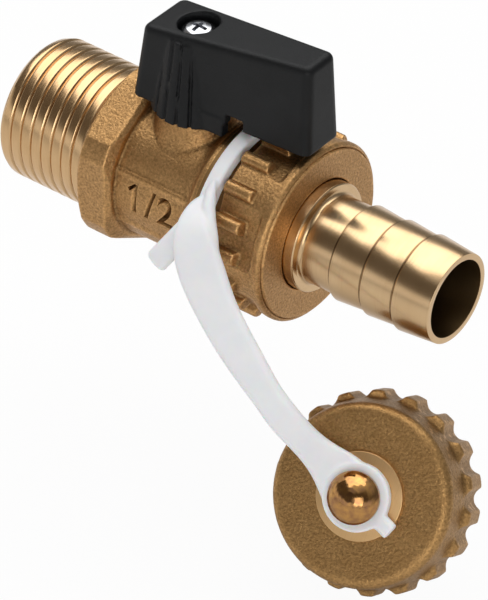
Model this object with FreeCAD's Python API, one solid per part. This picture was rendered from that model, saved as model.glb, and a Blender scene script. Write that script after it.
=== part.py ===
import FreeCAD, Part
import math
import os

from FreeCAD import Placement, Rotation, Vector

# Half-inch ball drain cock with a lever, a hose union and a captive cap on a strap.
# Millimetres. The pipe axis is X, with x = 0 where the inlet thread reaches its full diameter, and the
# hose outlet towards +X.
# The stem stands along +Z, and the lever lies along the pipe when the cock is open.

# Half-inch pipe thread, drawn as plain walls at its major and minor diameters
thread_major_radius = 10.478
thread_minor_radius = 9.316
thread_end_chamfer = 1.0

# Fits
screw_fit = 0.03
running_fit = 0.05
loose_gap = 0.3

# Valve body
inlet_thread_length = 13.8
relief_length = 0.6
relief_depth = 1.0
hex_length = 5.9
hex_across_flats = 24.0
hex_edge_chamfer = 0.9
hex_corner_trim = 0.8
hex_back_bevel = 0.7
stem_behind_hex = 6.4
housing_length = 14.1
housing_radius = 10.7
housing_end_radius = 11.9
housing_flare = 2.6
housing_land = 0.8
waterway_radius = 4.5
inlet_countersink = 1.4
pad_distance = 10.2
pad_half_height = 4.7
pad_corner_radius = 0.8
boss_radius = 5.4
boss_top = 14.0
boss_foot_height = 5.8
boss_foot_inset = 0.2
boss_flare_sag = 0.6

# Ball and seats
ball_radius = 7.5
ball_slot_width = 3.4
ball_slot_floor = 5.2
ball_room = 0.4
seat_outer_radius = 7.0
seat_bore_radius = 4.8
seat_near_face = 4.6
seat_thickness = 2.4
seat_pocket_lip = 0.2

# Stem with its thrust washer and two O-rings
stem_radius = 3.5
tang_thickness = 3.2
tang_half_width = 3.4
tang_floor_gap = 0.15
stem_flange_radius = 4.1
stem_flange_height = 1.1
stem_flange_gap = 0.25
washer_thickness = 1.0
o_ring_section_radius = 0.6
o_ring_groove_width = 1.4
o_ring_lower_height = 11.3
o_ring_upper_height = 12.9
stem_square = 5.0
stem_screw_depth = 5.5

# Moulded lever
hub_overlap = 1.3
lever_hex_gap = 0.6
lever_nut_gap = 0.7
lever_top_at_stem = 25.9
lever_top_rise_deg = 7.2
lever_back_bottom = 7.7
lever_back_slope_deg = 7.0
lever_reach = 21.0
lever_tip_draft_deg = 1.5
lever_half_width = 5.3
lever_plan_taper_deg = 3.0
lever_side_draft_deg = 3.2
lever_wall = 1.5
lever_corner_radius = 1.3
lever_top_radius = 1.0
hub_foot_radius = 6.6
hub_crown_radius = 4.7
hub_core_radius = 4.2
hub_groove_width = 0.45
hub_groove_depth = 0.45
hub_groove_angles = (-27, -9, 9, 27)
boss_clearance = 0.4
notch_position = 9.4
notch_width = 2.9
notch_height = 1.7
recess_radius = 2.95
recess_floor_below_top = 2.5
web_thickness = 1.9

# Lever screw
screw_radius = 1.5
screw_head_radius = 2.4
screw_head_height = 1.5
screw_head_bulge = 0.25
screw_hole_gap = 0.2
screw_drive_width = 0.7
screw_drive_span = 2.6
screw_drive_depth = 0.8

# Outlet spigot, screwed into the body
spigot_shank_radius = 9.0
spigot_collar_length = 1.1
spigot_collar_stand_out = 0.1
strap_neck_radius = 10.75
outlet_thread_length = 4.0

# Hose tail and its gasket
gasket_thickness = 1.5
gasket_side_gap = 0.75
tail_flange_side_gap = 0.95
tail_flange_thickness = 1.4
tail_collar_radius = 7.75
tail_collar_stand_out = 1.5
tail_neck_radius = 6.5
tail_neck_length = 5.5
tail_bore_radius = 5.65
barb_crest_radius = 7.05
barb_root_radius = 6.65
barb_pitch = 5.2
barb_count = 3
barb_tip_radius = 6.55
barb_tip_length = 5.6

# Union nut
nut_web_thickness = 1.8
nut_across_flats = 24.8
nut_corner_deg = 40.0
nut_band_radius = 13.2
nut_band_length = 1.7
nut_face_step = 0.35
nut_hole_gap = 0.42
nut_rib_width = 1.9

# Grip ribs shared by the union nut and the cap
rib_count = 18
rib_first_deg = 4.0
rib_crest_radius = 14.1
rib_edge_radius = 0.8
rib_end_slope = 0.9

# Cap, hung by its knob
cap_depth = 10.8
cap_wall = 2.4
cap_band_radius = 12.7
cap_body_radius = 13.0
cap_rib_width = 3.2
cap_band_length = 4.6
cap_edge_radius = 1.3
cap_thread_length = 6.9
cap_gasket_thickness = 1.5
cap_boss_radius = 6.1
cap_boss_height = 0.6
knob_neck_radius = 2.6
knob_dome_radius = 3.65
knob_dome_rim = 0.7
knob_dome_height = 2.9
cap_hang_along = 69.1
cap_hang_aside = 18.4
cap_hang_below = 23.1
cap_axis = Vector(0.2214, -0.7977, 0.5597).normalize()

# Cap strap, one moulding threaded through its own eye, saved as three lengths that meet on flat faces
strap_band_width = 2.8
strap_band_thickness = 2.1
strap_side_gap = 0.3
strap_ring_radius = 4.75
strap_ring_thickness = 1.5
strap_nub_length = 1.9
strap_nub_width = 2.5
strap_nub_turn_deg = 3.0
strap_slack = 0.8
strap_slack_deg = 65.0
strap_bed_depth = 0.1
strap_leave_deg = 56.0
tether_route = (Vector(37.1, -13.2, 7.2), Vector(38.3, -15.7, 6.1), Vector(40.1, -17.3, 3.3),
                Vector(42.9, -18.5, -0.2), Vector(46.3, -19.6, -3.5), Vector(50.1, -20.4, -6.7),
                Vector(54.0, -20.8, -10.2), Vector(58.0, -20.6, -14.1), Vector(61.4, -19.5, -17.6))
tether_root_width = 2.4
tether_widths = (2.8, 4.9, 6.4, 6.4, 5.8, 5.4, 4.7, 4.6, 4.6)
tether_thickness = 1.8
tether_shoulder = 2.6
tether_shoulder_width = 5.2
tether_join_reach = 2.7
strap_end_route = (Vector(37.0, -13.4, 5.2), Vector(35.0, -15.4, 1.9), Vector(32.6, -16.6, -1.9))
strap_end_width = 3.4
strap_end_thickness = 2.2
strap_split_margin = 1.5
strap_split_station = 3

# Stations along the pipe, worked out from the sizes above
hex_start = inlet_thread_length + relief_length
hex_end = hex_start + hex_length
hex_corner_radius = hex_across_flats / 2 / math.cos(math.radians(30)) - hex_corner_trim
stem_x = hex_end + stem_behind_hex
body_end = hex_end + housing_length
neck_start = body_end + spigot_collar_length
neck_end = neck_start + strap_band_width + 2 * strap_side_gap
spigot_end = neck_end + outlet_thread_length
flange_start = spigot_end + gasket_thickness
flange_end = flange_start + tail_flange_thickness
nut_start = neck_end
nut_end = flange_end + nut_web_thickness
collar_end = nut_end + tail_collar_stand_out
barbs_start = collar_end + tail_neck_length
tip_start = barbs_start + (barb_count - 1) * barb_pitch
tail_end = tip_start + barb_tip_length
strap_plane = (neck_start + neck_end) / 2
nut_bore_radius = thread_major_radius + loose_gap
gasket_radius = nut_bore_radius - gasket_side_gap
tail_flange_radius = nut_bore_radius - tail_flange_side_gap
spigot_collar_radius = housing_end_radius + spigot_collar_stand_out

# Heights along the stem, worked out from the sizes above
tang_floor = ball_slot_floor + tang_floor_gap
flange_floor = ball_radius + stem_flange_gap
washer_floor = flange_floor + stem_flange_height
washer_top = washer_floor + washer_thickness
stem_square_start = boss_top + loose_gap
hub_bottom = boss_top - hub_overlap
skirt_bottom = hex_corner_radius + lever_hex_gap
lever_bottom = rib_crest_radius + lever_nut_gap
recess_floor = lever_top_at_stem - recess_floor_below_top
web_bottom = recess_floor - web_thickness
stem_top = web_bottom - loose_gap

cap_face_centre = Vector(cap_hang_along, -cap_hang_aside, -cap_hang_below)

pipe_way = Vector(1, 0, 0)
stem_way = Vector(0, 0, 1)
stem_foot = Vector(stem_x, 0, 0)


def pipe_rod(start, end, radius):
    """Cylinder on the pipe axis."""
    return Part.makeCylinder(radius, end - start, Vector(start, 0, 0), pipe_way)


def stem_rod(bottom, top, radius):
    """Cylinder on the stem axis."""
    return Part.makeCylinder(radius, top - bottom, Vector(stem_x, 0, bottom), stem_way)


def turned(profile):
    """Solid turned on the X axis from (x, radius) corners, where a third value bulges the next edge."""
    points = [Vector(corner[0], 0, corner[1]) for corner in profile]
    edges = []
    for index, corner in enumerate(profile):
        here = points[index]
        there = points[(index + 1) % len(points)]
        if len(corner) == 3:
            chord = there - here
            bulge = Vector(-chord.z, 0, chord.x).normalize() * corner[2]
            edges.append(Part.Arc(here, (here + there) * 0.5 + bulge, there).toShape())
        else:
            edges.append(Part.LineSegment(here, there).toShape())
    solid = Part.Face(Part.Wire(edges)).revolve(Vector(), pipe_way, 360)
    if solid.Volume < 0:
        solid.reverse()
    return solid


def turned_on_stem(profile):
    """Solid turned on the stem axis from (height, radius) corners."""
    solid = turned(profile)
    solid.Placement = Placement(stem_foot, Rotation(pipe_way, stem_way))
    return solid


def hex_outline(station, across_flats, first_corner_deg):
    """Hexagon across the X axis, its first corner turned from +Z towards -Y."""
    reach = across_flats / 2 / math.cos(math.radians(30))
    angles = [math.radians(first_corner_deg + 60 * step) for step in range(7)]
    corners = [Vector(station, -reach * math.sin(angle), reach * math.cos(angle)) for angle in angles]
    return Part.makePolygon(corners)


def hex_bar(start, end, across_flats, first_corner_deg):
    """Hexagonal bar on the X axis."""
    outline = hex_outline(start, across_flats, first_corner_deg)
    return Part.Face(outline).extrude(Vector(end - start, 0, 0))


def grip_ribs(rear, front, root_radius, width):
    """Ring of raised ribs on the X axis, with sloped front ends."""
    envelope = turned([(rear, root_radius), (rear, rib_crest_radius),
                       (front - rib_end_slope, rib_crest_radius), (front, root_radius)])
    block = Part.makeBox(front - rear, width, rib_crest_radius, Vector(rear, -width / 2, 0))
    crest_edges = [edge for edge in block.Edges
                   if edge.BoundBox.ZMin > rib_crest_radius / 2 and edge.BoundBox.XLength > width]
    block = block.makeFillet(rib_edge_radius, crest_edges)
    blocks = []
    for step in range(rib_count):
        rib = block.copy()
        rib.rotate(Vector(), pipe_way, rib_first_deg + 360 / rib_count * step)
        blocks.append(rib)
    return envelope.common(blocks[0].multiFuse(blocks[1:]))


def place_on_cap(shape):
    """Move a shape drawn on the X axis, with the cap's face at x = 0, to where the cap hangs."""
    hung = shape.copy()
    hung.Placement = Placement(cap_face_centre, Rotation(pipe_way, cap_axis)).multiply(shape.Placement)
    return hung


def make_valve_body():
    """Forged body: inlet thread, hexagon, ball housing with flat side pads, and the flared stem boss."""
    relief_radius = thread_major_radius - relief_depth
    mouth = -thread_end_chamfer
    thread = turned([(mouth, 0), (mouth, thread_major_radius - thread_end_chamfer),
                     (0, thread_major_radius), (inlet_thread_length, thread_major_radius),
                     (hex_start, relief_radius), (hex_start, 0)])
    chamfer_reach = hex_edge_chamfer * math.tan(math.radians(60))
    hex_limit = turned([(hex_start, 0), (hex_start, hex_corner_radius - chamfer_reach),
                        (hex_start + hex_edge_chamfer, hex_corner_radius),
                        (hex_end - hex_edge_chamfer, hex_corner_radius),
                        (hex_end, hex_corner_radius - chamfer_reach), (hex_end, 0)])
    bevel_start = hex_end - hex_back_bevel
    back = Part.makeLoft([hex_outline(bevel_start, hex_across_flats, 0),
                          hex_outline(hex_end, hex_across_flats - 2 * hex_back_bevel, 0)], True, True)
    hexagon = hex_bar(hex_start, bevel_start, hex_across_flats, 0).fuse(back).common(hex_limit)
    flare_sag = (housing_end_radius - housing_radius) / 2
    housing_start = hex_end - hex_edge_chamfer
    housing = turned([(housing_start, 0), (housing_start, housing_radius),
                      (body_end - housing_flare, housing_radius, -flare_sag / 2),
                      (body_end - housing_land, housing_end_radius),
                      (body_end, housing_end_radius), (body_end, 0)])
    pads = Part.makeBox(housing_length, 2 * pad_distance, 2 * pad_half_height,
                        Vector(housing_start, -pad_distance, -pad_half_height))
    pads = pads.makeFillet(pad_corner_radius, pads.Edges)
    foot_radius = math.sqrt(housing_radius ** 2 - boss_foot_height ** 2) - boss_foot_inset
    flare_top = hub_bottom - loose_gap
    boss = turned_on_stem([(0, 0), (0, foot_radius), (boss_foot_height, foot_radius, -boss_flare_sag),
                           (flare_top, boss_radius), (boss_top, boss_radius), (boss_top, 0)])
    boss = boss.common(pipe_rod(hex_start, body_end, 2 * boss_top))
    body = thread.multiFuse([hexagon, housing, pads, boss])

    pocket_start = stem_x - seat_near_face - seat_thickness
    chamber_start = stem_x - seat_near_face + seat_pocket_lip
    shank_start = stem_x + seat_near_face - seat_pocket_lip - loose_gap
    countersink = turned([(mouth, 0), (mouth, waterway_radius + inlet_countersink),
                          (mouth + inlet_countersink, waterway_radius), (mouth + inlet_countersink, 0)])
    hollows = [
        countersink,
        pipe_rod(mouth, stem_x, waterway_radius),
        pipe_rod(pocket_start, stem_x, seat_outer_radius + screw_fit),
        pipe_rod(chamber_start, stem_x + seat_near_face, ball_radius + ball_room),
        pipe_rod(shank_start, body_end, spigot_shank_radius + screw_fit),
        stem_rod(0, washer_top, stem_flange_radius + loose_gap),
        stem_rod(0, boss_top, stem_radius + running_fit),
    ]
    for hollow in hollows:
        body = body.cut(hollow)
    return body.removeSplitter()


def make_ball():
    """Drilled ball with the slot that takes the stem's tang."""
    ball = Part.makeSphere(ball_radius, stem_foot)
    bore = pipe_rod(stem_x - ball_radius, stem_x + ball_radius, waterway_radius)
    slot = Part.makeBox(ball_slot_width, 2 * ball_radius, ball_radius,
                        Vector(stem_x - ball_slot_width / 2, -ball_radius, ball_slot_floor))
    return ball.cut(bore.fuse(slot))


def make_seat_ring(side):
    """Seat ring with a hollow face that bears on the ball, on the inlet side (-1) or the outlet side (+1)."""
    near = stem_x + side * seat_near_face
    far = near + side * seat_thickness
    ring = pipe_rod(min(near, far), max(near, far), seat_outer_radius)
    bore = pipe_rod(min(near, far), max(near, far), seat_bore_radius)
    return ring.cut(bore).cut(Part.makeSphere(ball_radius + running_fit, stem_foot))


def o_ring_centre_radius():
    """Radius of the O-ring's core circle, so that its outside just meets the stem hole."""
    return stem_radius - o_ring_section_radius


def make_stem():
    """Stem: tang, retaining flange, two O-ring grooves and the square end that carries the lever."""
    tang = Part.makeBox(tang_thickness, 2 * tang_half_width, washer_floor - tang_floor,
                        Vector(stem_x - tang_thickness / 2, -tang_half_width, tang_floor))
    shaft = stem_rod(washer_floor, stem_square_start, stem_radius)
    flange = stem_rod(flange_floor, washer_floor, stem_flange_radius)
    square = Part.makeBox(stem_square, stem_square, stem_top - stem_square_start,
                          Vector(stem_x - stem_square / 2, -stem_square / 2, stem_square_start))
    square = square.common(stem_rod(stem_square_start, stem_top, stem_radius))
    stem = tang.multiFuse([shaft, flange, square])
    groove_floor = o_ring_centre_radius() - o_ring_section_radius - screw_fit
    for height in (o_ring_lower_height, o_ring_upper_height):
        bottom = height - o_ring_groove_width / 2
        top = height + o_ring_groove_width / 2
        groove = stem_rod(bottom, top, stem_radius + 1).cut(stem_rod(bottom, top, groove_floor))
        stem = stem.cut(groove)
    screw_hole = stem_rod(stem_top - stem_screw_depth, stem_top, screw_radius + screw_fit)
    return stem.cut(screw_hole).removeSplitter()


def make_thrust_washer():
    """Low-friction washer between the stem's flange and the body."""
    washer = stem_rod(washer_floor + screw_fit, washer_top - screw_fit, stem_flange_radius)
    return washer.cut(stem_rod(washer_floor, washer_top, stem_radius + running_fit))


def make_o_ring(height):
    """O-ring in one of the stem's grooves."""
    return Part.makeTorus(o_ring_centre_radius(), o_ring_section_radius, Vector(stem_x, 0, height), stem_way)


def lever_top(along):
    """Height of the lever's sloping top at a distance along the lever from the stem."""
    return lever_top_at_stem + along * math.tan(math.radians(lever_top_rise_deg))


def lever_block(inset, bottom):
    """Lever's tapered and drafted block, with every face but its bottom drawn in by the inset."""
    back_slope = math.tan(math.radians(lever_back_slope_deg))
    tip_slope = math.tan(math.radians(lever_tip_draft_deg))
    back_x = -lever_back_bottom + inset + back_slope * (bottom - skirt_bottom)
    back_top_x = -lever_back_bottom + inset + back_slope * (lever_top(-lever_back_bottom) - skirt_bottom)
    tip_top_x = lever_reach - inset
    tip_x = tip_top_x + tip_slope * (lever_top(lever_reach) - bottom)
    corners = [(back_x, bottom), (back_top_x, lever_top(back_top_x) - inset),
               (tip_top_x, lever_top(tip_top_x) - inset), (tip_x, bottom)]
    side = lever_half_width + 1
    outline = [Vector(stem_x + x, -side, z) for x, z in corners]
    slab = Part.Face(Part.makePolygon(outline + outline[:1])).extrude(Vector(0, 2 * side, 0))

    plan_taper = math.tan(math.radians(lever_plan_taper_deg))
    side_draft = math.tan(math.radians(lever_side_draft_deg))
    frames = []
    for height in (bottom, lever_top(lever_reach)):
        half_widths = []
        for x in (-lever_back_bottom, lever_reach + 1):
            narrowing = plan_taper * (x + lever_back_bottom) + side_draft * (height - skirt_bottom)
            half_widths.append(lever_half_width - narrowing - inset)
        rear = stem_x - lever_back_bottom
        front = stem_x + lever_reach + 1
        frame = [Vector(rear, -half_widths[0], height), Vector(front, -half_widths[1], height),
                 Vector(front, half_widths[1], height), Vector(rear, half_widths[0], height)]
        frames.append(Part.makePolygon(frame + frame[:1]))
    return slab.common(Part.makeLoft(frames, True, True))


def lies_on_lever_top(edge):
    """Whether an edge runs round the lever's sloping top."""
    return all(abs(vertex.Z - lever_top(vertex.X - stem_x)) < 0.01 for vertex in edge.Vertexes)


def make_hub():
    """Conical skirt round the stem, with upright grooves on both sides."""
    height = lever_top_at_stem - lever_top_radius - hub_bottom
    hub = Part.makeCone(hub_foot_radius, hub_crown_radius, height, Vector(stem_x, 0, hub_bottom), stem_way)
    lean = math.degrees(math.atan2(hub_foot_radius - hub_crown_radius, height))
    for side in (0, 180):
        for angle in hub_groove_angles:
            groove = Part.makeBox(hub_groove_width, hub_groove_depth * 2, height * 1.2,
                                  Vector(-hub_groove_width / 2, -hub_groove_depth, -1))
            groove.rotate(Vector(), pipe_way, -lean)
            groove.translate(Vector(0, -hub_foot_radius, 0))
            groove.rotate(Vector(), stem_way, angle + side)
            groove.translate(Vector(stem_x, 0, hub_bottom))
            hub = hub.cut(groove)
    return hub


def make_handle():
    """Moulded lever: hollow underneath, with a conical hub, a screw recess and a notch in each side wall."""
    block = lever_block(0, lever_bottom)
    uprights = [edge for edge in block.Edges if abs(edge.tangentAt(edge.FirstParameter).z) > 0.9]
    block = block.makeFillet(lever_corner_radius, uprights)
    block = block.makeFillet(lever_top_radius, [edge for edge in block.Edges if lies_on_lever_top(edge)])
    skirt = lever_block(0, skirt_bottom)
    skirt_uprights = [edge for edge in skirt.Edges if abs(edge.tangentAt(edge.FirstParameter).z) > 0.9]
    skirt = skirt.makeFillet(lever_corner_radius, skirt_uprights)
    skirt = skirt.common(Part.makeBox(lever_back_bottom + hub_core_radius, 4 * lever_half_width,
                                      lever_bottom - skirt_bottom + lever_wall,
                                      Vector(stem_x - lever_back_bottom, -2 * lever_half_width,
                                             skirt_bottom)))
    shell = block.multiFuse([skirt, make_hub()])

    core = stem_rod(hub_bottom - loose_gap, lever_top_at_stem, hub_core_radius)
    hollow = lever_block(lever_wall, hub_bottom - loose_gap).cut(core)
    square_side = stem_square + 2 * screw_fit
    square_hole = Part.makeBox(square_side, square_side, web_bottom - hub_bottom,
                               Vector(stem_x - square_side / 2, -square_side / 2, hub_bottom))
    notch = Part.makeBox(notch_width, 4 * lever_half_width, notch_height + loose_gap,
                         Vector(stem_x + notch_position - notch_width / 2, -2 * lever_half_width,
                                lever_bottom - loose_gap))
    cuts = [
        hollow,
        stem_rod(hub_bottom, boss_top + boss_clearance, boss_radius + boss_clearance),
        square_hole.common(stem_rod(hub_bottom, web_bottom, stem_radius + screw_fit)),
        stem_rod(web_bottom, recess_floor, screw_radius + screw_hole_gap),
        stem_rod(recess_floor, lever_top_at_stem + lever_half_width, recess_radius),
        notch,
    ]
    for cut in cuts:
        shell = shell.cut(cut)
    return shell.removeSplitter()


def make_handle_screw():
    """Domed cross-recess screw that clamps the lever to the stem."""
    shank_end = stem_top - stem_screw_depth + loose_gap
    head_top = recess_floor + screw_head_height
    screw = turned_on_stem([(shank_end, 0), (shank_end, screw_radius), (recess_floor, screw_radius),
                            (recess_floor, screw_head_radius),
                            (head_top - screw_head_height / 2, screw_head_radius, screw_head_bulge),
                            (head_top, screw_radius), (head_top, 0)])
    drive_sides = (screw_drive_span, screw_drive_width)
    for long_side, short_side in (drive_sides, drive_sides[::-1]):
        slot = Part.makeBox(long_side, short_side, screw_drive_depth + 1,
                            Vector(stem_x - long_side / 2, -short_side / 2, head_top - screw_drive_depth))
        screw = screw.cut(slot)
    return screw


def make_outlet_spigot():
    """Outlet piece screwed into the body: seat pocket, collar, strap neck and outlet thread."""
    shank_start = stem_x + seat_near_face - seat_pocket_lip
    outside = turned([(shank_start, 0), (shank_start, spigot_shank_radius), (body_end, spigot_shank_radius),
                      (body_end, spigot_collar_radius), (neck_start, spigot_collar_radius),
                      (neck_start, strap_neck_radius), (neck_end, strap_neck_radius),
                      (neck_end, thread_major_radius),
                      (spigot_end - thread_end_chamfer, thread_major_radius),
                      (spigot_end, thread_major_radius - thread_end_chamfer), (spigot_end, 0)])
    pocket = pipe_rod(shank_start, stem_x + seat_near_face + seat_thickness, seat_outer_radius + screw_fit)
    return outside.cut(pocket.fuse(pipe_rod(shank_start, spigot_end, waterway_radius)))


def make_tail_gasket():
    """Flat gasket between the spigot's end and the hose tail's flange."""
    disc = pipe_rod(spigot_end, flange_start, gasket_radius)
    return disc.cut(pipe_rod(spigot_end, flange_start, tail_bore_radius))


def make_hose_tail():
    """Turned hose tail: flange, collar, neck and three barbs."""
    profile = [(flange_start, tail_bore_radius), (flange_start, tail_flange_radius),
               (flange_end, tail_flange_radius), (flange_end, tail_collar_radius),
               (collar_end, tail_collar_radius), (collar_end, tail_neck_radius),
               (barbs_start, tail_neck_radius)]
    for index in range(barb_count):
        shoulder = barbs_start + index * barb_pitch
        profile.append((shoulder, barb_crest_radius))
        if index < barb_count - 1:
            profile.append((shoulder + barb_pitch, barb_root_radius))
    profile.append((tail_end, barb_tip_radius))
    profile.append((tail_end, tail_bore_radius))
    return turned(profile)


def make_union_nut():
    """Forged union nut: ribbed hexagon with a round front band and a stepped face."""
    band_start = nut_end - nut_band_length
    limit = pipe_rod(nut_start, band_start, nut_band_radius)
    hexagon = hex_bar(nut_start, band_start, nut_across_flats, nut_corner_deg).common(limit)
    band = turned([(band_start, 0), (band_start, nut_band_radius),
                   (nut_end - 2 * nut_face_step, nut_band_radius),
                   (nut_end - nut_face_step, nut_band_radius - nut_face_step),
                   (nut_end - nut_face_step, nut_band_radius - 2 * nut_face_step),
                   (nut_end, nut_band_radius - 2 * nut_face_step), (nut_end, 0)])
    ribs_root = nut_bore_radius + loose_gap
    ribs = grip_ribs(nut_start, band_start - nut_band_length, ribs_root, nut_rib_width)
    hole = pipe_rod(flange_end, nut_end, tail_collar_radius + nut_hole_gap)
    thread = pipe_rod(nut_start, flange_end, nut_bore_radius)
    return hexagon.multiFuse([band, ribs]).cut(thread.fuse(hole)).removeSplitter()


def make_cap():
    """Forged cap: ribbed skirt, rounded face, turned knob and the threaded hollow behind."""
    skirt = turned([(-cap_depth, 0), (-cap_depth, cap_body_radius), (-cap_band_length, cap_body_radius),
                    (-cap_edge_radius, cap_band_radius, 0.29 * cap_edge_radius),
                    (0, cap_band_radius - cap_edge_radius), (0, 0)])
    ring_room = strap_ring_thickness + 2 * strap_side_gap
    neck_top = cap_boss_height + ring_room
    dome_top = neck_top + knob_dome_height
    crown = knob_dome_height - knob_dome_rim
    sphere_radius = (knob_dome_radius ** 2 + crown ** 2) / (2 * crown)
    dome_bulge = sphere_radius - math.sqrt(sphere_radius ** 2 - (knob_dome_radius ** 2 + crown ** 2) / 4)
    knob = turned([(-cap_wall / 2, 0), (-cap_wall / 2, cap_boss_radius), (cap_boss_height, cap_boss_radius),
                   (cap_boss_height, knob_neck_radius), (neck_top, knob_neck_radius),
                   (neck_top, knob_dome_radius),
                   (neck_top + knob_dome_rim, knob_dome_radius, dome_bulge), (dome_top, 0)])
    ribs_root = (thread_major_radius + cap_body_radius) / 2
    ribs = grip_ribs(-cap_depth, -cap_band_length, ribs_root, cap_rib_width)
    thread = pipe_rod(-cap_depth, cap_thread_length - cap_depth, thread_minor_radius)
    gasket_room = pipe_rod(cap_thread_length - cap_depth, -cap_wall, thread_major_radius)
    cap = skirt.multiFuse([knob, ribs]).cut(thread).cut(gasket_room)
    return place_on_cap(cap.removeSplitter())


def make_cap_gasket():
    """Flat gasket in the bottom of the cap."""
    disc = pipe_rod(-cap_wall - cap_gasket_thickness, -cap_wall, thread_major_radius - screw_fit)
    return place_on_cap(disc)


def strap_section(centre, along, face_way, width, thickness):
    """Flat-oval outline across a strap that runs along one way and faces another."""
    across = face_way.cross(along).normalize()
    up = along.cross(across).normalize() * (thickness / 2)
    side = across * (width / 2 - thickness / 2)
    round_end = across * (width / 2)
    edges = [
        Part.LineSegment(centre - side + up, centre + side + up).toShape(),
        Part.Arc(centre + side + up, centre + round_end, centre + side - up).toShape(),
        Part.LineSegment(centre + side - up, centre - side - up).toShape(),
        Part.Arc(centre - side - up, centre - round_end, centre - side + up).toShape(),
    ]
    return Part.Wire(edges)


def strap_along(route, widths, thicknesses, first_face_way):
    """Flat strap lofted along a route, facing the given way at its start and then the cap's outer side."""
    sections = []
    for index, centre in enumerate(route):
        before = route[max(index - 1, 0)]
        after = route[min(index + 1, len(route) - 1)]
        along = (after - before).normalize()
        face_way = cap_axis if index else first_face_way
        sections.append(strap_section(centre, along, face_way, widths[index], thicknesses[index]))
    return Part.makeLoft(sections, True, False)


def make_strap():
    """Soft strap in three lengths: band with its threaded end, tether, and the ring that carries the cap."""
    neck_room_radius = strap_neck_radius + loose_gap
    inner = neck_room_radius + strap_slack - strap_bed_depth
    outer = inner + strap_band_thickness
    half = strap_band_width / 2
    soft = strap_band_thickness / 3
    band = turned([(strap_plane - half, inner), (strap_plane - half, outer - soft, soft * 0.29),
                   (strap_plane - half + soft, outer), (strap_plane + half - soft, outer, soft * 0.29),
                   (strap_plane + half, outer - soft), (strap_plane + half, inner)])
    slack = math.radians(strap_slack_deg)
    band_shift = Vector(0, -math.sin(slack), math.cos(slack)) * strap_slack
    band.translate(band_shift)
    leave = math.radians(strap_leave_deg)
    outward = Vector(0, -math.sin(leave), math.cos(leave))
    start = Vector(strap_plane, 0, 0) + band_shift + outward * (inner + strap_band_thickness / 2)
    ring_middle = cap_boss_height + strap_side_gap + strap_ring_thickness / 2
    ring_centre = cap_face_centre + cap_axis * ring_middle
    last = tether_route[-1] - ring_centre
    ring_way = (last - cap_axis * last.dot(cap_axis)).normalize()
    shoulder = ring_centre + ring_way * (strap_ring_radius + tether_shoulder)
    join = ring_centre + ring_way * tether_join_reach
    join_width = 2 * math.sqrt(strap_ring_radius ** 2 - tether_join_reach ** 2)
    route = (start,) + tether_route + (shoulder, join)
    widths = (tether_root_width,) + tether_widths + (tether_shoulder_width, join_width)
    tether_thicknesses = (tether_thickness,) * len(tether_route)
    thicknesses = (strap_band_thickness,) + tether_thicknesses + (strap_ring_thickness,) * 2
    tether = strap_along(route, widths, thicknesses, outward)
    loose_end = strap_along(strap_end_route, (strap_end_width,) * 3, (strap_end_thickness,) * 3, cap_axis)

    ring_bottom = cap_boss_height + strap_side_gap
    ring_top = ring_bottom + strap_ring_thickness
    ring = place_on_cap(pipe_rod(ring_bottom, ring_top, strap_ring_radius))
    hole = place_on_cap(pipe_rod(ring_bottom - 1, ring_top + 1, knob_neck_radius + loose_gap))
    nub_turn = Rotation(cap_axis, strap_nub_turn_deg)
    nub_way = nub_turn.multVec(-ring_way)
    nub_route = (ring_centre + nub_way * (knob_neck_radius + loose_gap),
                 ring_centre + nub_way * (strap_ring_radius + strap_nub_length))
    nub = strap_along(nub_route, (strap_nub_width,) * 2, (strap_ring_thickness,) * 2, cap_axis)
    neck_room = pipe_rod(neck_start, neck_end, neck_room_radius)
    whole = band.multiFuse([tether, loose_end, ring, nub]).cut(hole).cut(neck_room)

    span = slice(strap_split_station, len(tether_route) + 1)
    room_widths = [width + 2 * strap_split_margin for width in widths[span]]
    room_thicknesses = [thickness + 2 * strap_split_margin for thickness in thicknesses[span]]
    tether_room = strap_along(route[span], room_widths, room_thicknesses, cap_axis)
    band_length, ring_length = sorted(whole.cut(tether_room).Solids, key=lambda solid: solid.CenterOfMass.x)
    return band_length, whole.common(tether_room), ring_length


def save(name, shape):
    """Write one piece as a STEP file named after it."""
    solid = shape.Solids[0] if len(shape.Solids) == 1 else shape
    solid.exportStep(os.path.join("parts", name + ".step"))


os.makedirs("parts", exist_ok=True)
save("valve_body", make_valve_body())
save("ball", make_ball())
save("seat_ring_inlet", make_seat_ring(-1))
save("seat_ring_outlet", make_seat_ring(1))
save("stem", make_stem())
save("stem_thrust_washer", make_thrust_washer())
save("stem_o_ring_lower", make_o_ring(o_ring_lower_height))
save("stem_o_ring_upper", make_o_ring(o_ring_upper_height))
save("handle", make_handle())
save("handle_screw", make_handle_screw())
save("outlet_spigot", make_outlet_spigot())
save("tail_gasket", make_tail_gasket())
save("hose_tail", make_hose_tail())
save("union_nut", make_union_nut())
strap_lengths = make_strap()
for name, length in zip(("strap_band", "strap_tether", "strap_ring"), strap_lengths):
    save(name, length)
save("cap", make_cap())
save("cap_gasket", make_cap_gasket())
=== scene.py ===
import math

import bpy
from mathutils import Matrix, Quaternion, Vector


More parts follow.
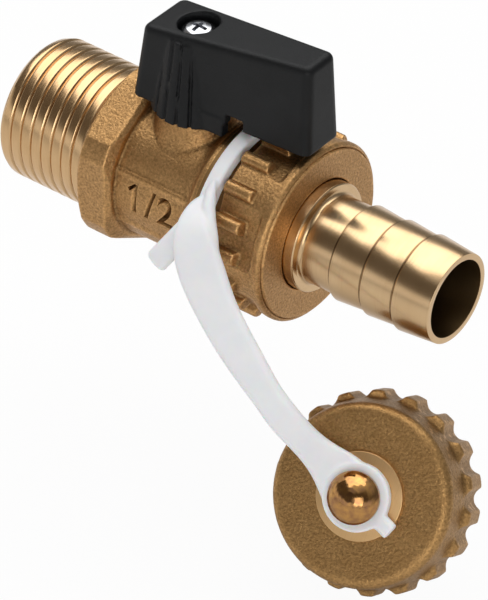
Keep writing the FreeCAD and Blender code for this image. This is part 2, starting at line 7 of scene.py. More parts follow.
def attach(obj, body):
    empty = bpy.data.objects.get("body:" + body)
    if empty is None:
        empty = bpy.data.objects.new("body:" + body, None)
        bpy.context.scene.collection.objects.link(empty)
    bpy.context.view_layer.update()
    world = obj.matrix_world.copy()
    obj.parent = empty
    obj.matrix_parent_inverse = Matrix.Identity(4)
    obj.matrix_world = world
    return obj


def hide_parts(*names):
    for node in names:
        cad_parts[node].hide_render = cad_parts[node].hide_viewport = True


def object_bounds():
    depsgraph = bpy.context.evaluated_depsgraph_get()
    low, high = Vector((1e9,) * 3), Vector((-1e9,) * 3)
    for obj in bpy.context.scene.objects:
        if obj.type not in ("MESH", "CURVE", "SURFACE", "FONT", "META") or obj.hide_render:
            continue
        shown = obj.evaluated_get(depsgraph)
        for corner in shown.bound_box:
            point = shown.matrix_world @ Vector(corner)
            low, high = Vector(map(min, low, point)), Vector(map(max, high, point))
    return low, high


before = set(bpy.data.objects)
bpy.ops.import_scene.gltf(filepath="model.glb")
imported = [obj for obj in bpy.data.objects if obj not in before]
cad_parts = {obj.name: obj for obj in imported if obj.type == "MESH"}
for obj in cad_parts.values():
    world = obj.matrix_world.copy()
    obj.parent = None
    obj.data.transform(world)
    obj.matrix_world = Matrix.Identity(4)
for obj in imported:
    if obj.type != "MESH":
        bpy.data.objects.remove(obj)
cad_low, cad_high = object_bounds()
scene = bpy.context.scene

# Studio: a plain pale floor below the hung cap, a large softbox overhead, a small one at the side, and a sky
# that is pale at the horizon in front and dim behind, so that turned brass shows light and dark bands.
# The camera looks down on the lever side with a long lens.
scene.view_settings.view_transform = "Standard"


class Flow:
    """A shader socket. Arithmetic on it adds Math nodes to its tree."""

    def __init__(self, tree, socket=None):
        self.tree = tree
        self.socket = socket

    def node(self, kind, sockets, out=0, **settings):
        made = self.tree.nodes.new(kind)
        for name, setting in settings.items():
            if name == "stops":
                ramp = made.color_ramp
                while len(ramp.elements) < len(setting):
                    ramp.elements.new(0.5)
                for element, (place, colour) in zip(ramp.elements, setting):
                    element.position = place
                    element.color = (*colour, 1)
            else:
                setattr(made, name, setting)
        for key, given in sockets.items():
            if isinstance(given, Flow):
                self.tree.links.new(given.socket, made.inputs[key])
            else:
                made.inputs[key].default_value = given
        return Flow(self.tree, made.outputs[out] if len(made.outputs) else None)

    def math(self, operation, first, second=0.0):
        return self.node("ShaderNodeMath", {0: first, 1: second}, operation=operation)

    def __add__(self, other):
        return self.math("ADD", self, other)

    __radd__ = __add__

    def __sub__(self, other):
        return self.math("SUBTRACT", self, other)

    def __rsub__(self, other):
        return self.math("SUBTRACT", other, self)

    def __mul__(self, other):
        return self.math("MULTIPLY", self, other)

    __rmul__ = __mul__

    def ramp(self, low, high):
        return self.node("ShaderNodeMapRange", {"Value": self, "From Min": low, "From Max": high}, clamp=True)

    def blend(self, first, second):
        return self.node("ShaderNodeMix", {"Factor": self, 6: first, 7: second}, out=2, data_type="RGBA")


def bare_material(name):
    """A material, its shader and the Object coordinates in its tree."""
    material = bpy.data.materials.new(name)
    material.use_nodes = True
    shader = material.node_tree.nodes["Principled BSDF"]
    tree = Flow(material.node_tree)
    place = tree.node("ShaderNodeTexCoord", {}, out="Object")
    return material, shader, place


def feed(shader, name, flow):
    """Link a varying value to one of the shader's sockets."""
    flow.tree.links.new(flow.socket, shader.inputs[name])


floor_size = 6
floor_gap = 0.004
bpy.ops.object.select_all(action="DESELECT")
bpy.ops.mesh.primitive_plane_add(size=floor_size, location=(0.03, 0, cad_low.z - floor_gap))
floor = bpy.context.object
floor.name = "studio_floor"
floor_paint = bpy.data.materials.new("floor_paint")
floor_paint.use_nodes = True
floor_tree = Flow(floor_paint.node_tree)
floor_paint.node_tree.nodes.clear()
ray = floor_paint.node_tree.nodes.new("ShaderNodeLightPath")
seen = Flow(floor_paint.node_tree, ray.outputs["Is Camera Ray"])
paint = floor_tree.node("ShaderNodeBsdfDiffuse", {"Color": (0.86, 0.86, 0.86, 1)})
glow = floor_tree.node("ShaderNodeEmission", {"Color": (1, 1, 1, 1), "Strength": 1.0})
mixed = floor_tree.node("ShaderNodeMixShader", {0: seen * 0.94, 1: paint, 2: glow})
floor_tree.node("ShaderNodeOutputMaterial", {"Surface": mixed})
floor.data.materials.append(floor_paint)

world = bpy.data.worlds.new("studio_sky")
scene.world = world
world.use_nodes = True
sky = Flow(world.node_tree)
world.node_tree.nodes.clear()
way = sky.node("ShaderNodeTexCoord", {}, out="Generated")
split = world.node_tree.nodes.new("ShaderNodeSeparateXYZ")
world.node_tree.links.new(way.socket, split.inputs[0])
ahead = Flow(world.node_tree, split.outputs["Y"]).ramp(-0.15, 0.35)
height = Flow(world.node_tree, split.outputs["Z"])
front_sky = height.node("ShaderNodeValToRGB", {0: height}, stops=[
    (0.0, (0.95, 0.95, 0.95)), (0.20, (0.9, 0.9, 0.9)), (0.32, (0.13, 0.115, 0.10)),
    (0.78, (0.11, 0.095, 0.08)), (0.88, (0.55, 0.55, 0.55)), (1.0, (0.7, 0.7, 0.7))])
back_sky = height.node("ShaderNodeValToRGB", {0: height}, stops=[
    (0.0, (0.30, 0.30, 0.30)), (0.30, (0.14, 0.14, 0.14)), (0.55, (0.4, 0.4, 0.4)), (1.0, (0.7, 0.7, 0.7))])
air = sky.node("ShaderNodeBackground", {"Color": ahead.blend(front_sky, back_sky), "Strength": 1.0})
sky.node("ShaderNodeOutputWorld", {"Surface": air})


def softbox(name, place, aim, size, power):
    """A square lamp that faces a point."""
    lamp = bpy.data.lights.new(name, "AREA")
    lamp.size = size
    lamp.energy = power
    holder = bpy.data.objects.new(name, lamp)
    holder.location = place
    holder.rotation_euler = (Vector(aim) - Vector(place)).to_track_quat("-Z", "Y").to_euler()
    scene.collection.objects.link(holder)


softbox("overhead_softbox", (-0.10, 0.14, 0.45), (0.03, 0, 0), 0.62, 2.4)
softbox("side_softbox", (0.36, -0.36, 0.16), (0.04, 0, -0.01), 0.26, 0.55)

camera = bpy.data.objects.new("camera", bpy.data.cameras.new("camera"))
camera.location = (0.328802, -0.377655, 0.355377)
camera.rotation_euler = (0.908794, -0.006038, 0.666244)
camera.data.lens = 260.2
camera.data.sensor_width = 36
camera.data.clip_start = 0.01
camera.data.clip_end = 20
scene.collection.objects.link(camera)
scene.camera = camera

# Valve body: one brass forging, sand-blasted, with the pipe size stamped into its flat side.
# Its inlet end is turned and carries a half-inch pipe thread, which runs out before the hexagon.
pitch = 0.001814
thread_crest = 0.010478
thread_root = 0.009316
worn_root = 0.01005
thread_end = 0.0138
thread_overlap = 0.0002
nose_drop = 0.0002
inlet_face = -0.001
waterway_radius = 0.0045
forging_skin = 0.00018
sand_grain = 0.00030
sand_depth = 0.00005
pad_face = -0.0099
stamp_middle = 0.0265
stamp_height = 0.0008
stamp_half_depth = 0.0008


def work_on(piece):
    """Make a piece the only selected one."""
    bpy.ops.object.select_all(action="DESELECT")
    piece.select_set(True)
    bpy.context.view_layer.objects.active = piece


def apply_all(piece):
    """Apply a piece's modifiers in order."""
    work_on(piece)
    for modifier in list(piece.modifiers):
        bpy.ops.object.modifier_apply(modifier=modifier.name)


def blank_from(node, name):
    """A copy of a solid's mesh, its loose triangles joined, as the blank for a finished piece."""
    blank = bpy.data.objects.new(name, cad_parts[node].data.copy())
    scene.collection.objects.link(blank)
    blank.data.materials.clear()
    work_on(blank)
    bpy.ops.object.mode_set(mode="EDIT")
    bpy.ops.mesh.select_all(action="SELECT")
    bpy.ops.mesh.remove_doubles(threshold=1e-6)
    bpy.ops.mesh.customdata_custom_splitnormals_clear()
    bpy.ops.object.mode_set(mode="OBJECT")
    return blank


def slice_off(piece, point, normal):
    """Cut away what lies on the normal's side of a plane and close the cut."""
    work_on(piece)
    bpy.ops.object.mode_set(mode="EDIT")
    bpy.ops.mesh.select_all(action="SELECT")
    bpy.ops.mesh.bisect(plane_co=point, plane_no=normal, use_fill=True, clear_outer=True)
    bpy.ops.object.mode_set(mode="OBJECT")


def soften(piece, face_size, rounds):
    """Give a blank an even skin and let its edges round off."""
    skin = piece.modifiers.new("skin", "REMESH")
    skin.mode = "VOXEL"
    skin.voxel_size = face_size
    skin.use_smooth_shade = True
    relax = piece.modifiers.new("relax", "SMOOTH")
    relax.factor = 0.5
    relax.iterations = rounds
    apply_all(piece)


def blast(piece, grain_size, depth):
    """Roughen a skin as sand-blasting leaves a forging."""
    sand = bpy.data.textures.new(piece.name + "_sand", "CLOUDS")
    sand.noise_scale = grain_size
    sand.noise_depth = 2
    pits = piece.modifiers.new("pits", "DISPLACE")
    pits.texture = sand
    pits.texture_coords = "LOCAL"
    pits.strength = depth
    apply_all(piece)


def machine(piece, cutter, operation):
    """Cut one closed piece with another, and drop the cutter."""
    tool = piece.modifiers.new("tool", "BOOLEAN")
    tool.object = cutter
    tool.operation = operation
    tool.solver = "MANIFOLD"
    tool.material_mode = "TRANSFER"
    apply_all(piece)
    bpy.data.objects.remove(cutter)


def draw_strand(name, corners):
    """A line of edges in the XZ plane, drawn by extruding one point from corner to corner."""
    bpy.ops.object.select_all(action="DESELECT")
    bpy.ops.mesh.primitive_plane_add(size=0.0001)
    strand = bpy.context.object
    strand.name = name
    bpy.ops.object.mode_set(mode="EDIT")
    bpy.ops.mesh.select_mode(type="VERT")
    bpy.ops.mesh.select_all(action="SELECT")
    bpy.ops.mesh.merge(type="CENTER")
    bpy.ops.transform.translate(value=(corners[0][0], 0, corners[0][1]))
    for here, there in zip(corners, corners[1:]):
        step = (there[0] - here[0], 0, there[1] - here[1])
        bpy.ops.mesh.extrude_region_move(TRANSFORM_OT_translate={"value": step})
    bpy.ops.object.mode_set(mode="OBJECT")
    return strand


def open_rim(piece, station):
    """Select the open edges that lie at one station along the pipe, in edit mode."""
    bpy.ops.object.mode_set(mode="EDIT")
    bpy.ops.mesh.select_mode(type="EDGE")
    bpy.ops.mesh.select_all(action="DESELECT")
    bpy.ops.mesh.select_non_manifold(extend=False, use_wire=False, use_multi_face=False,
                                     use_non_contiguous=False, use_verts=False)
    bpy.ops.object.mode_set(mode="OBJECT")
    for edge in piece.data.edges:
        ends = [piece.data.vertices[index].co.x for index in edge.vertices]
        if edge.select and max(abs(end - station) for end in ends) > 1e-5:
            edge.select = False
    for vertex in piece.data.vertices:
        vertex.select = False
    for edge in piece.data.edges:
        if edge.select:
            for index in edge.vertices:
                piece.data.vertices[index].select = True
    for face in piece.data.polygons:
        face.select = False
    bpy.ops.object.mode_set(mode="EDIT")


def male_thread(name, root, start, end, nose, washout):
    """A turned pipe thread with a chamfered nose, whose grooves run out before its far end."""
    depth = thread_crest - root
    flank = [(0, 0), (0.02, 0.02), (0.14, 0.88), (0.19, 0.98), (0.26, 1)]
    groove = flank + [(1 - along, up) for along, up in reversed(flank)]
    rod = draw_strand(name, [(start - 2 * pitch + pitch * along, root + depth * up) for along, up in groove])
    winding = rod.modifiers.new("winding", "SCREW")
    winding.axis = "X"
    winding.screw_offset = pitch
    winding.iterations = int((end - start) / pitch) + 4
    winding.steps = winding.render_steps = 96
    winding.use_merge_vertices = True
    winding.merge_threshold = 1e-6
    apply_all(rod)
    for station, side in ((start, -1), (end, 1)):
        bpy.ops.object.mode_set(mode="EDIT")
        bpy.ops.mesh.select_all(action="SELECT")
        bpy.ops.mesh.remove_doubles(threshold=2e-6)
        bpy.ops.mesh.bisect(plane_co=(station, 0, 0), plane_no=(side, 0, 0), clear_outer=True,
                            threshold=1e-7)
        bpy.ops.mesh.select_all(action="SELECT")
        bpy.ops.mesh.delete_loose(use_faces=False)
        bpy.ops.object.mode_set(mode="OBJECT")
    for vertex in rod.data.vertices:
        radius = math.hypot(vertex.co.y, vertex.co.z)
        fade = min(max((vertex.co.x - end + washout) / washout, 0), 1)
        wanted = max(radius, root + fade * depth * 0.9)
        rise = max(vertex.co.x - start, 0) * (depth + nose_drop) / nose
        wanted = min(wanted, root - nose_drop + rise)
        vertex.co.y *= wanted / radius
        vertex.co.z *= wanted / radius
    return rod


def bore_out(rod, root, start, end, radius, countersink):
    """Close both ends of a threaded rod down to a bore and join the two by the bore's wall."""
    open_rim(rod, start)
    mouth = (radius + countersink) / (root - nose_drop)
    bpy.ops.mesh.extrude_edges_move()
    bpy.ops.transform.resize(value=(1, mouth, mouth), center_override=(start, 0, 0))
    bpy.ops.mesh.extrude_edges_move(TRANSFORM_OT_translate={"value": (countersink, 0, 0)})
    shrink = radius / (radius + countersink)
    bpy.ops.transform.resize(value=(1, shrink, shrink), center_override=(start, 0, 0))
    bpy.ops.object.mode_set(mode="OBJECT")
    open_rim(rod, end)
    rear_rim = [vertex.co for vertex in rod.data.vertices if abs(vertex.co.x - end) < 1e-6]
    rear = radius / max(math.hypot(point.y, point.z) for point in rear_rim)
    bpy.ops.mesh.extrude_edges_move()
    bpy.ops.transform.resize(value=(1, rear, rear), center_override=(end, 0, 0))
    bpy.ops.mesh.select_all(action="DESELECT")
    bpy.ops.mesh.select_non_manifold(extend=False, use_wire=False, use_multi_face=False,
                                     use_non_contiguous=False, use_verts=False)
    bpy.ops.mesh.bridge_edge_loops()
    bpy.ops.mesh.select_all(action="SELECT")
    bpy.ops.mesh.normals_make_consistent(inside=False)
    bpy.ops.object.mode_set(mode="OBJECT")
    work_on(rod)
    bpy.ops.object.shade_smooth_by_angle(angle=math.radians(40))


def forged_brass(name, tone):
    """Sand-blasted forged brass: matt and brown, with fine grain, paler on convex edges as wear and a painted
    highlight, and darker in hollows as painted shade.
    """
    material, shader, place = bare_material(name)
    grain = place.node("ShaderNodeTexNoise", {"Vector": place, "Scale": 2900, "Detail": 3, "Roughness": 0.65})
    patches = place.node("ShaderNodeTexNoise", {"Vector": place, "Scale": 380, "Detail": 3})
    # Pointiness mask: convex edges turn paler, partly wear and partly a painted highlight; hollows turn
    # darker, a painted shade.
    edge = place.node("ShaderNodeNewGeometry", {}, out="Pointiness").ramp(0.455, 0.545)
    dark = tuple(value * 0.50 for value in tone)
    light = tuple(min(value * 1.75, 1) for value in tone)
    stain = (tone[0] * 0.78, tone[1] * 0.70, tone[2] * 0.58, 1)
    # shade mixes the grain with the painted edge highlight and hollow shade, and sets both colour and
    # roughness.
    shade = 0.60 * grain.ramp(0.32, 0.70) + 0.80 * edge - 0.26
    colour = shade.ramp(0, 1).blend((*dark, 1), (*light, 1))
    colour = (patches.ramp(0.35, 0.7) * 0.30).blend(colour, stain)
    feed(shader, "Base Color", colour)
    feed(shader, "Roughness", 0.54 - 0.22 * shade)
    bump = place.node("ShaderNodeBump", {"Height": grain, "Strength": 0.7, "Distance": 0.00013})
    feed(shader, "Normal", bump)
    shader.inputs["Metallic"].default_value = 1.0
    return material


def turned_brass(name, tone, roughness, shadow_stations=()):
    """Turned brass with fine lathe rings round the pipe axis, a faint tarnish and a painted shadow line at
    each given station.
    """
    material, shader, place = bare_material(name)
    parts = place.tree.nodes.new("ShaderNodeSeparateXYZ")
    place.tree.links.new(place.socket, parts.inputs[0])
    along = Flow(place.tree, parts.outputs["X"])
    rings = along.node("ShaderNodeTexNoise", {"W": along, "Scale": 7000, "Detail": 3}, noise_dimensions="1D")
    stain = place.node("ShaderNodeTexNoise", {"Vector": place, "Scale": 260, "Detail": 3})
    tarnish = (tone[0] * 0.86, tone[1] * 0.80, tone[2] * 0.70, 1)
    colour = (stain.ramp(0.35, 0.75) * 0.5).blend((*tone, 1), tarnish)
    colour = (rings.ramp(0.55, 0.75) * 0.25).blend(colour, (tone[0] * 0.7, tone[1] * 0.6, tone[2] * 0.5, 1))
    # Each station gets a thin dark band round the pipe: a painted shadow.
    for station in shadow_stations:
        shadow_band = along.node("ShaderNodeMath", {0: along, 1: station, 2: 0.00013}, operation="COMPARE")
        colour = (shadow_band * 0.8).blend(colour, (tone[0] * 0.25, tone[1] * 0.2, tone[2] * 0.15, 1))
    feed(shader, "Base Color", colour)
    feed(shader, "Roughness", roughness - 0.06 + 0.12 * rings)
    bump = place.node("ShaderNodeBump", {"Height": rings, "Strength": 0.2, "Distance": 0.00003})
    feed(shader, "Normal", bump)
    shader.inputs["Metallic"].default_value = 1.0
    return material


body_brass = forged_brass("blasted_brass", (0.44, 0.255, 0.105))
thread_brass = turned_brass("thread_brass", (0.66, 0.44, 0.235), 0.22)

forging = blank_from("valve_body", "forged_body")
forging.data.materials.append(body_brass)
slice_off(forging, (thread_end, 0, 0), (-1, 0, 0))
bpy.ops.object.select_all(action="DESELECT")
bpy.ops.object.text_add(location=(stamp_middle, pad_face, stamp_height), rotation=(math.pi / 2, 0, 0))
stamp = bpy.context.object
stamp.name = "size_stamp"
stamp.data.body = "1/2"
stamp.data.align_x = "CENTER"
stamp.data.align_y = "CENTER"
stamp.data.size = 0.0060
stamp.data.offset = 0.00010
stamp.data.space_character = 1.12
stamp.data.extrude = stamp_half_depth
bpy.ops.object.convert(target="MESH")
bpy.ops.object.transform_apply(location=True, rotation=True, scale=True)
bpy.ops.object.mode_set(mode="EDIT")
bpy.ops.mesh.select_all(action="SELECT")
bpy.ops.mesh.remove_doubles(threshold=1e-6)
bpy.ops.object.mode_set(mode="OBJECT")
stamp.data.materials.append(body_brass)
figure_left = min(vertex.co.x for vertex in stamp.data.vertices)
figure_top = max(vertex.co.z for vertex in stamp.data.vertices)
bpy.ops.object.select_all(action="DESELECT")
bpy.ops.mesh.primitive_cube_add(size=1, location=(figure_left - 0.0001, pad_face, figure_top - 0.00055),
                                rotation=(0, math.radians(-38), 0), scale=(0.0015, 0.0016, 0.0005))
flag = bpy.context.object
bpy.ops.object.transform_apply(location=True, rotation=True, scale=True)
flag.data.materials.append(body_brass)
soften(forging, forging_skin, 3)
machine(forging, stamp, "DIFFERENCE")
machine(forging, flag, "DIFFERENCE")
blast(forging, sand_grain, sand_depth)

inlet = male_thread("inlet_thread", worn_root, inlet_face, thread_end + thread_overlap, 0.0007, 0.0008)
bore_out(inlet, worn_root, inlet_face, thread_end + thread_overlap, waterway_radius, 0.0014)
inlet.data.materials.append(thread_brass)
for piece, slot in ((forging, "forged_brass"), (inlet, "turned_brass")):
    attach(piece, "body")
    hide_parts("valve_body")

# Ball and seats: a plated brass ball held between two fluoroplastic rings, seen through the waterway.
# The solids are already true to size, so only their finish is made here.


def plain_finish(name, colour, other, roughness, metallic):
    """Even finish with a faint mottle, for pieces that are mostly hidden."""
    material, shader, place = bare_material(name)
    mottle = place.node("ShaderNodeTexNoise", {"Vector": place, "Scale": 900, "Detail": 3})
    feed(shader, "Base Color", mottle.ramp(0.3, 0.7).blend((*colour, 1), (*other, 1)))
    feed(shader, "Roughness", roughness + 0.12 * mottle)
    shader.inputs["Metallic"].default_value = metallic
    return material


plating = plain_finish("ball_plating", (0.78, 0.79, 0.80), (0.70, 0.71, 0.73), 0.08, 1.0)
seat_white = plain_finish("seat_plastic", (0.86, 0.86, 0.83), (0.80, 0.80, 0.77), 0.40, 0.0)
for node, material in (("ball", plating), ("seat_ring_inlet", seat_white), ("seat_ring_outlet", seat_white)):
    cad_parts[node].data.materials.clear()
    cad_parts[node].data.materials.append(material)

# Stem: turned brass with a white thrust washer and two black O-rings, under the lever.
# It is closed in by the body and the lever's hub.
seal_black = plain_finish("seal_rubber", (0.028, 0.028, 0.030), (0.018, 0.018, 0.019), 0.50, 0.0)
stem_brass = turned_brass("stem_brass", (0.70, 0.46, 0.22), 0.30)
for node, material in (("stem", stem_brass), ("stem_thrust_washer", seat_white),
                       ("stem_o_ring_lower", seal_black), ("stem_o_ring_upper", seal_black)):
    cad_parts[node].data.materials.clear()
    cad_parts[node].data.materials.append(material)

# Lever: one black plastic moulding with a fine matt grain, pressed on the stem's square.
# Its edges are soft from the mould, and its hub carries upright grooves.
lever = blank_from("handle", "lever")
stem_x = 0.0267
lever_skin = 0.00018
apron_length = 0.0076
apron_aside = 0.0040
apron_wall = 0.0015
apron_bottom = 0.0127
apron_top = 0.0156
side_taper = math.radians(3)
for side in (-1, 1):
    bpy.ops.object.select_all(action="DESELECT")
    bpy.ops.mesh.primitive_cube_add(size=1, location=(stem_x + apron_length / 2, side * apron_aside,
                                                      (apron_bottom + apron_top) / 2),
                                    rotation=(0, 0, -side * side_taper),
                                    scale=(apron_length, apron_wall, apron_top - apron_bottom))
    bpy.ops.object.transform_apply(location=True, rotation=True, scale=True)
    lever.select_set(True)
    bpy.context.view_layer.objects.active = lever
    bpy.ops.object.join()
soften(lever, lever_skin, 3)
lever_black, lever_shader, lever_place = bare_material("lever_plastic")
mould_grain = lever_place.node("ShaderNodeTexNoise", {"Vector": lever_place, "Scale": 5200, "Detail": 2})
handled = lever_place.node("ShaderNodeTexNoise", {"Vector": lever_place, "Scale": 160, "Detail": 4})
lever_tones = (0.0045, 0.005, 0.0055, 1), (0.008, 0.0085, 0.0092, 1)
feed(lever_shader, "Base Color", handled.ramp(0.3, 0.7).blend(*lever_tones))
feed(lever_shader, "Roughness", 0.38 + 0.16 * mould_grain)
feed(lever_shader, "Normal", lever_place.node("ShaderNodeBump", {"Height": mould_grain, "Strength": 0.35,
                                                                 "Distance": 0.00006}))
lever_shader.inputs["Specular IOR Level"].default_value = 0.22
lever.data.materials.append(lever_black)
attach(lever, "lever")
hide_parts("handle")

# Lever screw: zinc-plated steel with a domed head and a cross recess.
# It sits at the bottom of the lever's well and holds the lever on the stem.
well_floor = 0.0234
screw_steel = plain_finish("zinc_plate", (0.62, 0.63, 0.65), (0.48, 0.49, 0.52), 0.14, 1.0)


def spin_round(strand, soft_edge, steps):
    """Turn an outline round the pipe axis, with its corners eased."""
    work_on(strand)
    bpy.ops.object.mode_set(mode="EDIT")
    bpy.ops.mesh.select_mode(type="VERT")
    bpy.ops.mesh.select_all(action="SELECT")
    bpy.ops.mesh.remove_doubles(threshold=1e-7)
    bpy.ops.mesh.bevel(offset=soft_edge, segments=3, affect="VERTICES", clamp_overlap=True)
    bpy.ops.mesh.select_all(action="SELECT")
    bpy.ops.mesh.spin(steps=steps, angle=2 * math.pi, center=(0, 0, 0), axis=(1, 0, 0))
    bpy.ops.mesh.select_all(action="SELECT")
    bpy.ops.mesh.remove_doubles(threshold=1e-6)
    bpy.ops.mesh.normals_make_consistent(inside=False)
    bpy.ops.object.mode_set(mode="OBJECT")
    work_on(strand)
    bpy.ops.object.shade_smooth_by_angle(angle=math.radians(35))


def settle(piece, place, turn):
    """Turn and move a piece to its place, and leave its object at the origin."""
    piece.rotation_mode = "QUATERNION"
    piece.rotation_quaternion = turn
    piece.location = place
    work_on(piece)
    bpy.ops.object.transform_apply(location=True, rotation=True, scale=True)


upright = Vector((1, 0, 0)).rotation_difference(Vector((0, 0, 1)))
screw = draw_strand("lever_screw", [
    (-0.0072, 0), (-0.0072, 0.0015), (0, 0.0015), (0, 0.00255), (0.0008, 0.00258), (0.00128, 0.0023),
    (0.00170, 0.0017), (0.00190, 0.0010), (0.00198, 0)])
spin_round(screw, 0.00003, 64)
screw.data.materials.append(screw_steel)
for turn in (0, math.pi / 2):
    bpy.ops.object.select_all(action="DESELECT")
    bpy.ops.mesh.primitive_cube_add(size=1, location=(0.0019, 0, 0), rotation=(turn, 0, 0),
                                    scale=(0.0018, 0.00075, 0.0034))
    blade = bpy.context.object
    bpy.ops.object.transform_apply(location=True, rotation=True, scale=True)
    bpy.ops.object.mode_set(mode="EDIT")
    bpy.ops.mesh.select_mode(type="VERT")
    bpy.ops.mesh.select_all(action="DESELECT")
    bpy.ops.object.mode_set(mode="OBJECT")
    for vertex in blade.data.vertices:
        vertex.select = vertex.co.x < 0.0015
    bpy.ops.object.mode_set(mode="EDIT")
    bpy.ops.transform.resize(value=(1, 0.55, 0.55), center_override=(0, 0, 0))
    bpy.ops.object.mode_set(mode="OBJECT")
    blade.data.materials.append(screw_steel)
    machine(screw, blade, "DIFFERENCE")
work_on(screw)
bpy.ops.object.shade_smooth_by_angle(angle=math.radians(35))
settle(screw, (stem_x, 0, well_floor), upright)
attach(screw, "lever")
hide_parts("handle_screw")

# Outlet spigot: turned brass, screwed into the body.
# Its neck carries the strap, and its parallel thread carries the nut.
neck_end = 0.0389
spigot_end = 0.0429
spigot = blank_from("outlet_spigot", "outlet_spigot_turning")
slice_off(spigot, (neck_end, 0, 0), (1, 0, 0))
work_on(spigot)
bpy.ops.object.shade_smooth_by_angle(angle=math.radians(30))
outlet = male_thread("outlet_thread", thread_root, -spigot_end, -neck_end + thread_overlap, 0.0012, 0.0006)
bore_out(outlet, thread_root, -spigot_end, -neck_end + thread_overlap, waterway_radius, 0.0008)
settle(outlet, (0, 0, 0), Quaternion((0, 0, 1), math.pi))
spigot_brass = turned_brass("spigot_brass", (0.33, 0.20, 0.085), 0.55)
for piece in (spigot, outlet):
    piece.data.materials.append(spigot_brass)
    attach(piece, "body")
    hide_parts("outlet_spigot")

# Hose tail: bright turned brass with a flange and collar inside the nut, and three barbs for the hose.
# A flat rubber gasket seals it against the spigot.
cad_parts["tail_gasket"].data.materials.clear()
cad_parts["tail_gasket"].data.materials.append(seal_black)
tail_start = 0.0444
tail_end = 0.0706
tail_bore_radius = 0.00565
flange_end = 0.0458
flange_radius = 0.009828
collar_end = 0.0491
collar_radius = 0.0080
collar_chamfer = 0.00015
fillet_radius = 0.0006
fillet_top = 0.0071
shoulders = (0.0546, 0.0598, 0.0650)
shoulder_radius = 0.00705
groove_depth = 0.00025
fillet = []
for turn in (0, 18, 36, 54, 72, 90):
    fillet.append((collar_end + fillet_radius - fillet_radius * math.cos(math.radians(turn)),
                   fillet_top - fillet_radius * math.sin(math.radians(turn))))
tail_outline = [(tail_start, tail_bore_radius), (tail_start, flange_radius), (flange_end, flange_radius),
                (flange_end, collar_radius), (collar_end - collar_chamfer, collar_radius),
                (collar_end, collar_radius - collar_chamfer)] + fillet
for shoulder, root in zip(shoulders, (0.0065, 0.00665, 0.00665)):
    tail_outline += [(shoulder - 0.00030, root), (shoulder - 0.00012, root - groove_depth),
                     (shoulder, root - groove_depth), (shoulder, shoulder_radius)]
tail_outline += [(tail_end, 0.00655), (tail_end, tail_bore_radius), (tail_start, tail_bore_radius)]
tail = draw_strand("hose_tail_turning", tail_outline)
spin_round(tail, 0.00003, 160)
# Painted shadow lines just in front of each barb shoulder, where the crest shades the neck.
painted_shadow_lines = [shoulder - 0.0004 for shoulder in shoulders]
tail_brass = turned_brass("tail_brass", (0.66, 0.46, 0.26), 0.23, painted_shadow_lines)
# Dark brass for the bore and the nut's reamed mouth: painted shade inside the recess.
bore_painted_shade = turned_brass("bore_painted_shade", (0.17, 0.11, 0.05), 0.40)
tail.data.materials.append(tail_brass)
tail.data.materials.append(bore_painted_shade)
# Faces of the bore take the dark brass, a painted shade.
for face in tail.data.polygons:
    corners = [tail.data.vertices[index].co for index in face.vertices]
    reach = max(math.hypot(corner.y, corner.z) for corner in corners)
    face.material_index = 1 if reach < tail_bore_radius + 0.0001 else 0
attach(tail, "tail")
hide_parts("hose_tail")

# Union nut: one brass forging with ribs, blunt hexagon corners and a round front band, screwed over the
# spigot's thread so that it pulls the hose tail tight.
nut = blank_from("union_nut", "forged_nut")
nut.data.materials.append(body_brass)
soften(nut, forging_skin, 3)
blast(nut, sand_grain, sand_depth)
ream_radius = 0.00818
ream_mouth = 0.00828
reamer = draw_strand("nut_reamer", [(0.0450, 0), (0.0450, ream_radius), (0.0475, ream_radius),
                                    (0.0476, ream_mouth), (0.0490, ream_mouth), (0.0490, 0)])
spin_round(reamer, 0.00002, 120)
# The nut's reamed mouth takes the dark brass: painted shade in the recess.
reamer.data.materials.append(bore_painted_shade)
machine(nut, reamer, "DIFFERENCE")
scriber = draw_strand("face_line", [(0.0470, 0.01246), (0.0470, 0.01266), (0.0479, 0.01274),
                                    (0.0479, 0.01238), (0.0470, 0.01246)])
spin_round(scriber, 0.00001, 160)
scriber.data.materials.append(body_brass)
machine(nut, scriber, "DIFFERENCE")
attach(nut, "nut")
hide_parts("union_nut")

# Cap strap: one soft white polyethylene moulding, threaded through its own eye round the neck.
# Its ring hangs the cap by the knob.
strap = blank_from("strap_band", "cap_strap")
for node in ("strap_tether", "strap_ring"):
    blank_from(node, node + "_blank")
    strap.select_set(True)
    bpy.context.view_layer.objects.active = strap
    bpy.ops.object.join()
edge_route = [Vector(point) / 1000 for point in (
    (37.25, -8.21, 10.42), (37.52, -9.64, 9.86), (38.09, -11.64, 8.94), (38.87, -13.05, 7.96),
    (39.87, -14.09, 6.68), (41.07, -15.16, 5.37), (42.10, -16.20, 3.60))]
edge_radius = 0.0009
beads_per_run = 4
band_start = 0.0355
band_end = 0.0389
band_reach = 0.0147
band_thinning = 0.00028
strap_skin = 0.00016
for here, there in zip(edge_route, edge_route[1:]):
    for bead in range(beads_per_run):
        bpy.ops.object.select_all(action="DESELECT")
        bpy.ops.mesh.primitive_uv_sphere_add(segments=20, ring_count=12, radius=edge_radius,
                                             location=here.lerp(there, bead / beads_per_run))
        bpy.ops.object.transform_apply(location=True, rotation=True, scale=True)
        strap.select_set(True)
        bpy.context.view_layer.objects.active = strap
        bpy.ops.object.join()
soften(strap, strap_skin, 6)
work_on(strap)
bpy.ops.object.mode_set(mode="EDIT")
bpy.ops.mesh.select_mode(type="VERT")
bpy.ops.mesh.select_all(action="DESELECT")
bpy.ops.object.mode_set(mode="OBJECT")
for vertex in strap.data.vertices:
    near = math.hypot(vertex.co.y, vertex.co.z) < band_reach
    vertex.select = band_start < vertex.co.x < band_end and near
bpy.ops.object.mode_set(mode="EDIT")
bpy.ops.transform.shrink_fatten(value=-band_thinning)
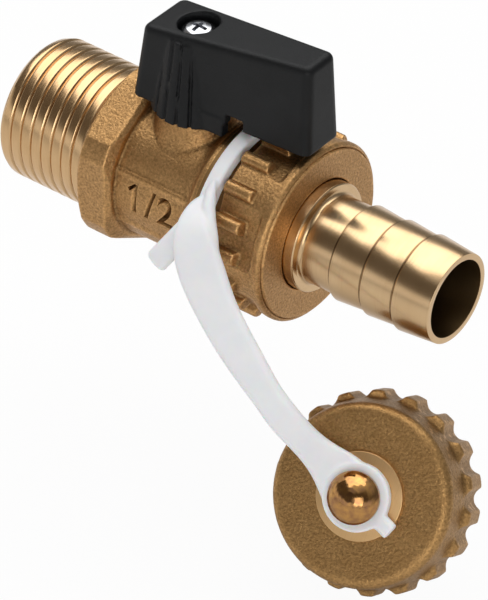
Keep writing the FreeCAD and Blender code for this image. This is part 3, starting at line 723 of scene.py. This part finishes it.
bpy.ops.mesh.select_all(action="SELECT")
bpy.ops.mesh.vertices_smooth(factor=0.5, repeat=8)
bpy.ops.object.mode_set(mode="OBJECT")
strap_white, strap_shader, strap_place = bare_material("strap_plastic")
haze = strap_place.node("ShaderNodeTexNoise", {"Vector": strap_place, "Scale": 300, "Detail": 4})
feed(strap_shader, "Base Color", haze.ramp(0.3, 0.7).blend((0.885, 0.91, 0.95, 1), (0.93, 0.945, 0.975, 1)))
feed(strap_shader, "Roughness", 0.36 + 0.16 * haze)
feed(strap_shader, "Normal", strap_place.node("ShaderNodeBump", {"Height": haze, "Strength": 0.2,
                                                                 "Distance": 0.0001}))
strap_shader.inputs["Subsurface Weight"].default_value = 0.25
strap_shader.inputs["Subsurface Scale"].default_value = 0.001
strap.data.materials.append(strap_white)
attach(strap, "strap_loop")
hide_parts("strap_band", "strap_tether", "strap_ring")

# Cap: one brass forging with ribs round its skirt, hollow valleys between them and a turned knob on its face,
# which the strap's ring goes round. A rubber gasket lies in its bottom.
cap = blank_from("cap", "forged_cap")
cap_face = Vector((0.0691, -0.0184, -0.0231))
cap_way = Vector((0.2214, -0.7977, 0.5597)).normalized()
cap_turn = Vector((1, 0, 0)).rotation_difference(cap_way)
cap_skin = 0.0002
cap_sand_depth = 0.00004
rib_count = 18
first_valley_deg = 14
valley_radius = 0.00166
valley_centre = 0.01466
valley_length = 0.0076
valley_middle = -0.0078
cap_rim = -0.0112
cap_thread_end = -0.0039
cap_brown = forged_brass("blasted_cap_brass", (0.36, 0.21, 0.082))
knob_polish = plain_finish("polished_knob", (0.58, 0.31, 0.095), (0.30, 0.15, 0.075), 0.08, 1.0)
cap.data.materials.append(cap_brown)
slice_off(cap, cap_face + cap_way * 0.00005, cap_way)
soften(cap, cap_skin, 2)
for step in range(rib_count):
    turn = math.radians(first_valley_deg + 360 / rib_count * step)
    bpy.ops.object.select_all(action="DESELECT")
    bpy.ops.mesh.primitive_cylinder_add(vertices=32, radius=valley_radius, depth=valley_length,
                                        rotation=(0, math.pi / 2, 0),
                                        location=(valley_middle, -math.sin(turn) * valley_centre,
                                                  math.cos(turn) * valley_centre))
    scallop = bpy.context.object
    bpy.ops.object.transform_apply(location=True, rotation=True, scale=True)
    scallop.data.materials.append(cap_brown)
    settle(scallop, cap_face, cap_turn)
    machine(cap, scallop, "DIFFERENCE")
soften(cap, cap_skin, 16)
blast(cap, sand_grain, cap_sand_depth)
tap = male_thread("cap_tap", thread_root, cap_rim, cap_thread_end, 0.00001, 0.00001)
open_rim(tap, cap_rim)
bpy.ops.mesh.edge_face_add()
bpy.ops.object.mode_set(mode="OBJECT")
open_rim(tap, cap_thread_end)
bpy.ops.mesh.edge_face_add()
bpy.ops.mesh.select_all(action="SELECT")
bpy.ops.mesh.normals_make_consistent(inside=False)
bpy.ops.object.mode_set(mode="OBJECT")
tap.data.materials.append(stem_brass)
settle(tap, cap_face, cap_turn)
machine(cap, tap, "DIFFERENCE")
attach(cap, "hung_cap")
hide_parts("cap")

boss_radius = 0.0061
boss_height = 0.0006
boss = draw_strand("cap_boss", [(-boss_height, 0), (-boss_height, boss_radius), (boss_height, boss_radius),
                                (boss_height, 0)])
spin_round(boss, 0.00008, 96)
boss.data.materials.append(turned_brass("boss_brass", (0.72, 0.47, 0.23), 0.42))
neck_radius = 0.0026
knob_radius = 0.00365
dome_centre = 0.00147
dome_radius = 0.00413
dome = [(dome_centre + dome_radius * math.cos(math.radians(turn)), dome_radius * math.sin(math.radians(turn)))
        for turn in (54, 46, 38, 30, 22, 14, 7, 0)]
knob = draw_strand("cap_knob", [(0.0004, 0), (0.0004, neck_radius), (0.0027, neck_radius),
                                (0.0027, knob_radius), (0.0034, knob_radius)] + dome)
spin_round(knob, 0.00006, 96)
knob.data.materials.append(knob_polish)
for piece in (boss, knob):
    settle(piece, cap_face, cap_turn)
    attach(piece, "hung_cap")
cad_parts["cap_gasket"].data.materials.clear()
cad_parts["cap_gasket"].data.materials.append(seal_black)
